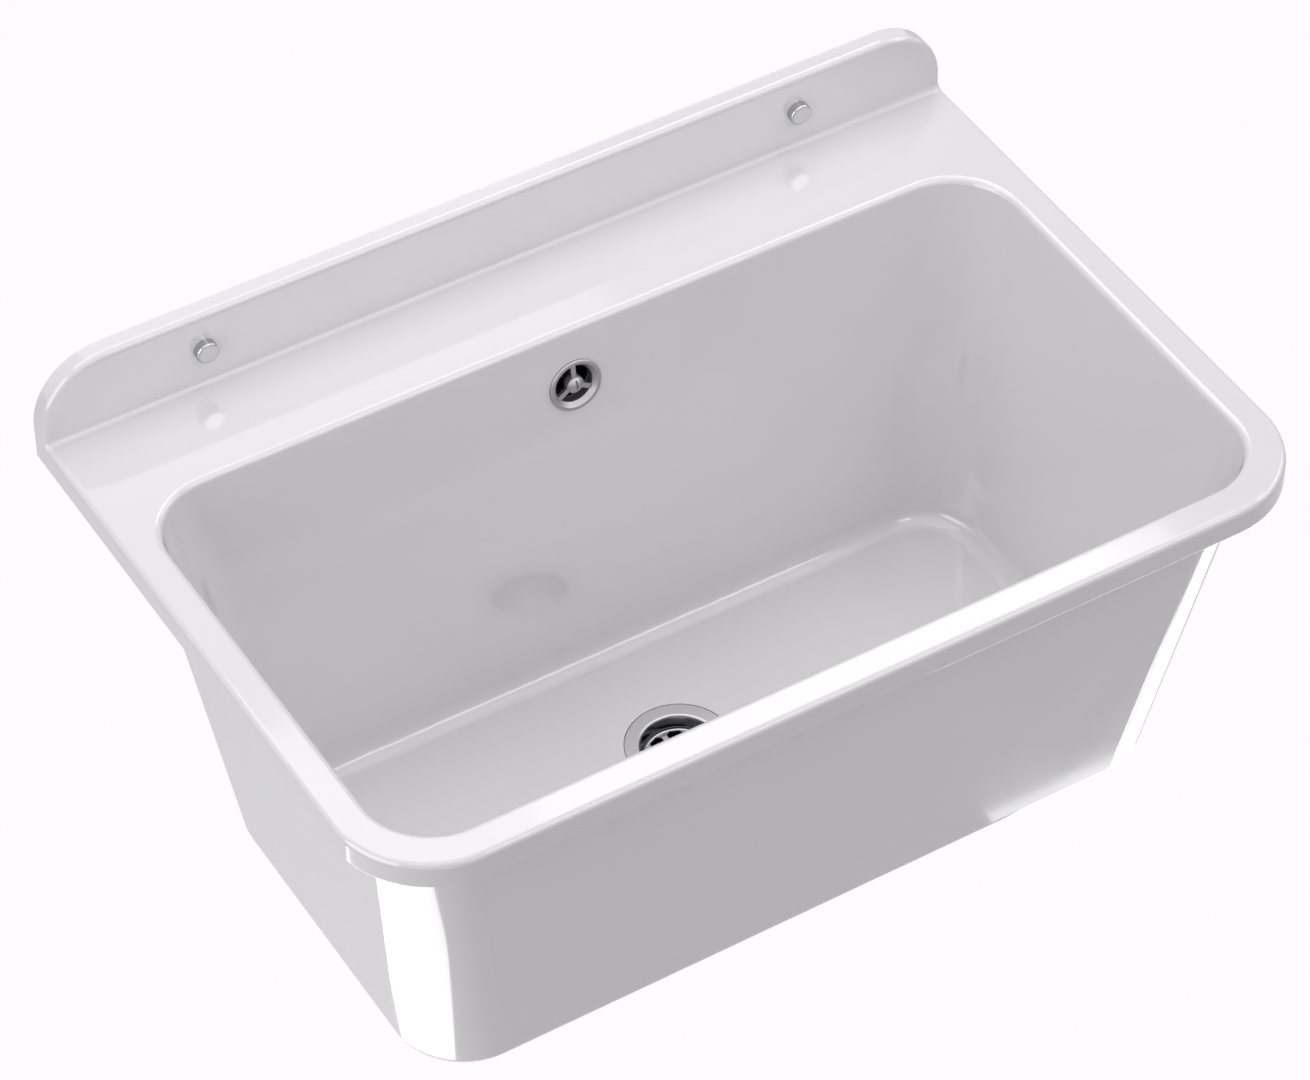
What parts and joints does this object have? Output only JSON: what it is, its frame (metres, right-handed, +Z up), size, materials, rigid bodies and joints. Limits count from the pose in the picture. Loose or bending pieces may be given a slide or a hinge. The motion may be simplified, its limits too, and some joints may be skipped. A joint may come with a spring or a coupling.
{
  "type": "wall-hung utility sink",
  "caption": "Wall-hung kitchen or utility sink with a deep rectangular bowl, low splashback, strainer waste, overflow and bottle trap.",
  "frame": {"origin": "midway between the two wall bolts, on the face of the wall, 26 mm above the rim", "axes": "+X to the sink's right along the wall, seen from the front, +Y into the wall, +Z up"},
  "size_m": [0.6, 0.432, 0.4377],
  "materials": {
    "cast_composite": "gloss",
    "zinc_plated_steel": "satin",
    "grey_nylon": "matte",
    "chrome_plate": "polished",
    "satin_chrome": "satin",
    "stainless_steel": "satin",
    "brass": "satin",
    "black_rubber": "matte",
    "black_polypropylene": "satin",
    "white_polypropylene": "satin"
  },
  "bodies": {
    "sink": {"basin": "cast_composite", "wall_bolts": "zinc_plated_steel", "bolt_bushes": "grey_nylon", "bolt_washers": "zinc_plated_steel", "bolt_nuts": "zinc_plated_steel", "overflow_rosette": "satin_chrome", "overflow_screw": "satin_chrome", "overflow_gasket": "black_rubber", "overflow_elbow": "black_polypropylene", "overflow_insert_nut": "brass", "overflow_upper_nut": "black_polypropylene", "overflow_upper_seal": "black_rubber", "overflow_pipe": "black_polypropylene", "overflow_lower_nut": "black_polypropylene", "overflow_lower_seal": "black_rubber", "waste_strainer": "stainless_steel", "waste_screw": "stainless_steel", "strainer_gasket": "black_rubber", "waste_gasket": "black_rubber", "waste_body": "black_polypropylene", "waste_insert_nut": "brass", "trap_inlet_nut": "white_polypropylene", "trap_inlet_washer": "black_rubber", "trap_tube": "white_polypropylene", "trap_body": "white_polypropylene", "outlet_nut": "white_polypropylene", "outlet_seal": "black_rubber", "outlet_pipe": "white_polypropylene"},
    "left_cap": {"left_fixing_cap": "chrome_plate"},
    "right_cap": {"right_fixing_cap": "chrome_plate"},
    "cup": {"trap_cup": "white_polypropylene", "trap_cup_seal": "black_rubber"},
    "rosette": {"wall_rosette": "stainless_steel"}
  },
  "joints": [
    {"name": "left_cap_pull", "type": "slide", "parent": "sink", "child": "left_cap", "axis": [0, -1, 0], "range_m": [0, 0.012]},
    {"name": "right_cap_pull", "type": "slide", "parent": "sink", "child": "right_cap", "axis": [0, -1, 0], "range_m": [0, 0.012]},
    {"name": "trap_cup_drop", "type": "slide", "parent": "sink", "child": "cup", "axis": [0, 0, -1], "range_m": [0, 0.04]},
    {"name": "wall_rosette_slide", "type": "slide", "parent": "sink", "child": "rosette", "axis": [0, -1, 0], "range_m": [0, 0.1]}
  ]
}
